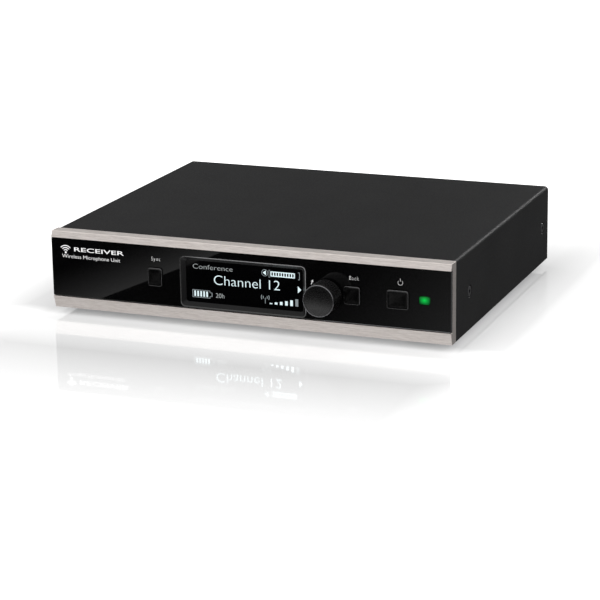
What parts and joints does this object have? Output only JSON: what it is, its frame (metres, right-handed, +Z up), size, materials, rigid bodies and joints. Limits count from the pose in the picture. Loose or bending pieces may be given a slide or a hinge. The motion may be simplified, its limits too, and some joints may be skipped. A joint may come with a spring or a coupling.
{
  "type": "wireless receiver unit",
  "caption": "Half-rack radio receiver in a dark metal case with a glossy control front, display, jog dial, push buttons and rear aerial and audio sockets.",
  "frame": {"origin": "on the floor the feet stand on, under the middle of the whole unit's bounding box, knob and rear sockets included", "axes": "+Z up, +Y from the control front to the rear sockets, +X to the right seen from the front"},
  "size_m": [0.212, 0.189, 0.044],
  "materials": {
    "dark_coat": "fine-textured matt powder coat",
    "zinc_steel": "zinc-plated sheet",
    "champagne": "brushed, warm champagne anodised",
    "gloss_black": "polished black acrylic",
    "satin_black": "satin moulded",
    "smoked_window": "smoked clear acrylic",
    "screen": "display glass over a plastic frame",
    "board": "solder-masked circuit board",
    "nickel": "satin nickel plate",
    "tin": "tinned sheet",
    "black_zinc": "black zinc plate",
    "rubber": "matt",
    "green_lens": "translucent green light pipe",
    "grey_ribbon": "grey flat cable",
    "coax_jacket": "dark cable jacket",
    "cream_plastic": "moulded"
  },
  "bodies": {
    "housing": {"antenna_nut_left": "nickel", "antenna_nut_right": "nickel", "antenna_socket_left": "nickel", "antenna_socket_right": "nickel", "base_tray": "zinc_steel", "board_screw_1": "black_zinc", "board_screw_2": "black_zinc", "board_screw_3": "black_zinc", "board_screw_4": "black_zinc", "cable_hook": "satin_black", "coax_left": "coax_jacket", "coax_right": "coax_jacket", "cover_screw_1": "black_zinc", "cover_screw_2": "black_zinc", "cover_screw_3": "black_zinc", "cover_screw_4": "black_zinc", "dc_socket": "satin_black", "display_holder": "satin_black", "display_module": "screen", "display_window": "smoked_window", "encoder_body": "tin", "esc_switch": "satin_black", "ethernet_port": "tin", "foot_1": "rubber", "foot_2": "rubber", "foot_3": "rubber", "foot_4": "rubber", "frame_screw_1": "black_zinc", "frame_screw_2": "black_zinc", "front_board": "board", "front_frame": "champagne", "front_panel": "gloss_black", "jack_body": "satin_black", "jack_nut": "nickel", "main_board": "board", "pair_switch": "satin_black", "power_switch": "satin_black", "rear_panel": "dark_coat", "rear_screw_1": "black_zinc", "rear_screw_2": "black_zinc", "rear_screw_3": "black_zinc", "rear_screw_4": "black_zinc", "ribbon_cable": "grey_ribbon", "shield_can": "tin", "status_led": "green_lens", "top_cover": "dark_coat", "xlr_insert": "satin_black", "xlr_screw_1": "black_zinc", "xlr_screw_2": "black_zinc", "xlr_shell": "nickel"},
    "jog_plunger": {"encoder_plunger": "cream_plastic"},
    "jog_dial": {"jog_knob": "gloss_black", "encoder_shaft": "nickel"},
    "pair_key": {"pair_button": "gloss_black"},
    "esc_key": {"esc_button": "gloss_black"},
    "power_key": {"power_button": "gloss_black"}
  },
  "joints": [
    {"name": "jog_push", "type": "slide", "parent": "housing", "child": "jog_plunger", "axis": [0, 1, 0], "range_m": [0, 0.0005], "stiffness_N_per_m": 4000, "springref_m": -0.0002},
    {"name": "jog_turn", "type": "hinge", "parent": "jog_plunger", "child": "jog_dial", "pos_m": [0.0433, -0.0945, 0.0239], "axis": [0, -1, 0], "continuous": true},
    {"name": "pair_press", "type": "slide", "parent": "housing", "child": "pair_key", "axis": [0, 1, 0], "range_m": [0, 0.0005], "stiffness_N_per_m": 3000, "springref_m": -0.0002},
    {"name": "esc_press", "type": "slide", "parent": "housing", "child": "esc_key", "axis": [0, 1, 0], "range_m": [0, 0.0005], "stiffness_N_per_m": 3000, "springref_m": -0.0002},
    {"name": "power_press", "type": "slide", "parent": "housing", "child": "power_key", "axis": [0, 1, 0], "range_m": [0, 0.0005], "stiffness_N_per_m": 3000, "springref_m": -0.0002}
  ]
}
